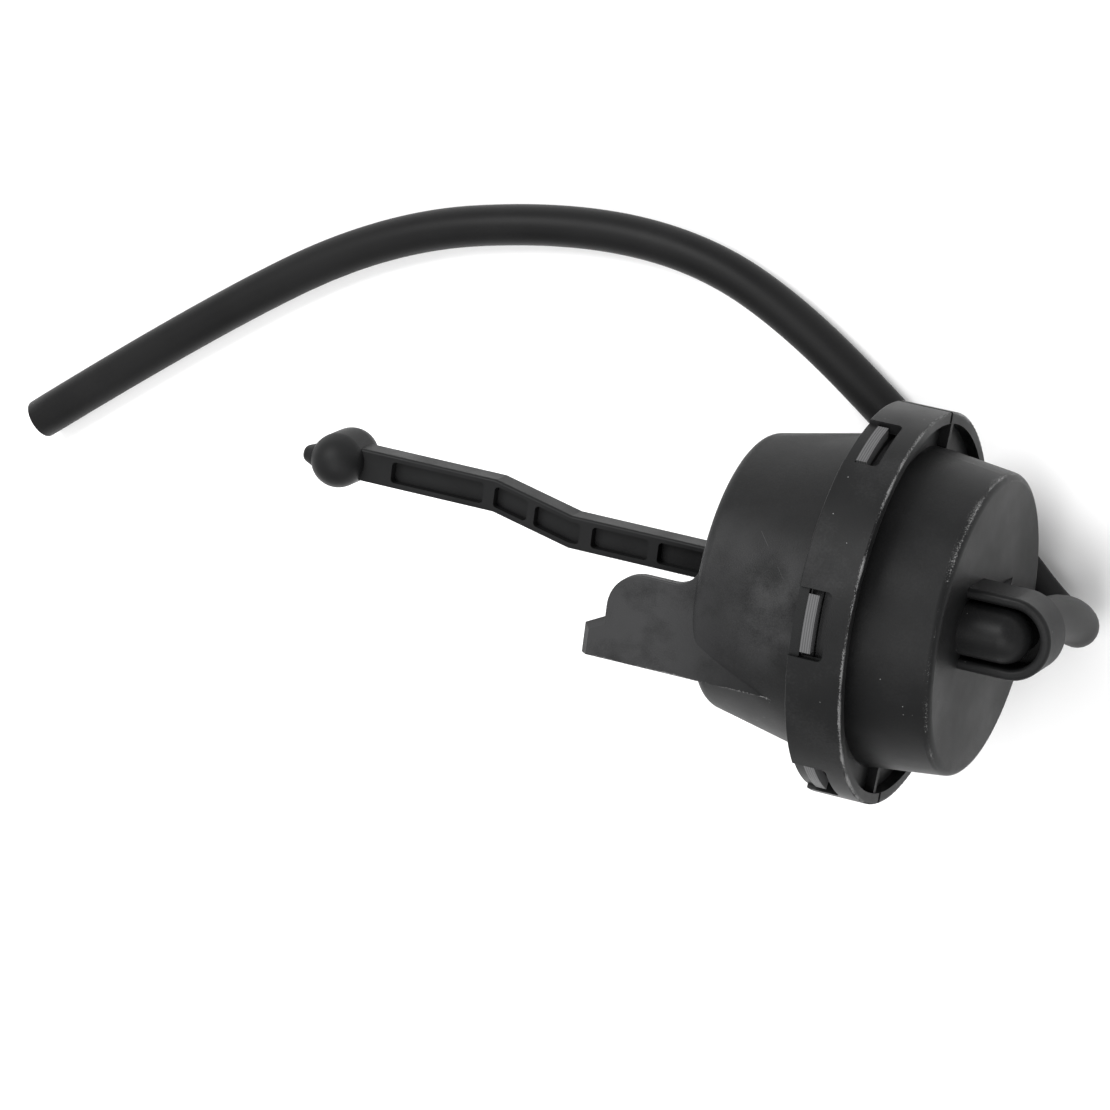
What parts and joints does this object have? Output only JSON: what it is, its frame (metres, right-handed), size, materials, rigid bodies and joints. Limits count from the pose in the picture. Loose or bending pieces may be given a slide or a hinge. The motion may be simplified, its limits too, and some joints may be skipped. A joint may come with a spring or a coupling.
{
  "type": "vacuum diaphragm actuator",
  "caption": "Black vacuum diaphragm actuator: conical cup with bracket plate, windowed clip cover, hooded port with rubber hose, and a sprung ball-ended pull link.",
  "frame": {"origin": "middle of the bracket plate's outer face", "axes": "+X along the actuator's axis towards the hose port, +Z out of the bracket plate, +Y away from the bracket's rail"},
  "size_m": [0.2206, 0.083, 0.0769],
  "materials": {
    "housing_plastic": "satin",
    "cover_plastic": "satin",
    "link_plastic": "satin",
    "inner_plastic": "matte",
    "hose_rubber": "satin",
    "diaphragm_rubber": "matte",
    "spring_steel": "satin",
    "plated_steel": "satin",
    "sintered_bronze": "matte"
  },
  "bodies": {
    "housing": {"front_housing": "housing_plastic", "vacuum_cover": "cover_plastic", "port_filter": "sintered_bronze", "diaphragm": "diaphragm_rubber", "rest_bumper": "diaphragm_rubber", "stop_pad": "diaphragm_rubber", "spring_seat": "plated_steel", "return_spring": "spring_steel", "hose": "hose_rubber"},
    "piston": {"piston_cup": "inner_plastic", "diaphragm_plate": "plated_steel", "link_socket": "inner_plastic", "socket_ring": "plated_steel"},
    "link": {"link_arm": "link_plastic"}
  },
  "joints": [
    {"name": "piston_slide", "type": "slide", "parent": "housing", "child": "piston", "axis": [1, 0, 0], "range_m": [0, 0.01], "stiffness_N_per_m": 360, "springref_m": -0.03, "deforming": ["diaphragm", "return_spring"]},
    {"name": "link_swing", "type": "hinge", "parent": "piston", "child": "link", "pos_m": [0.025, 0.007, -0.023], "axis": [0, 0, 1], "range_deg": [-5, 5]}
  ]
}
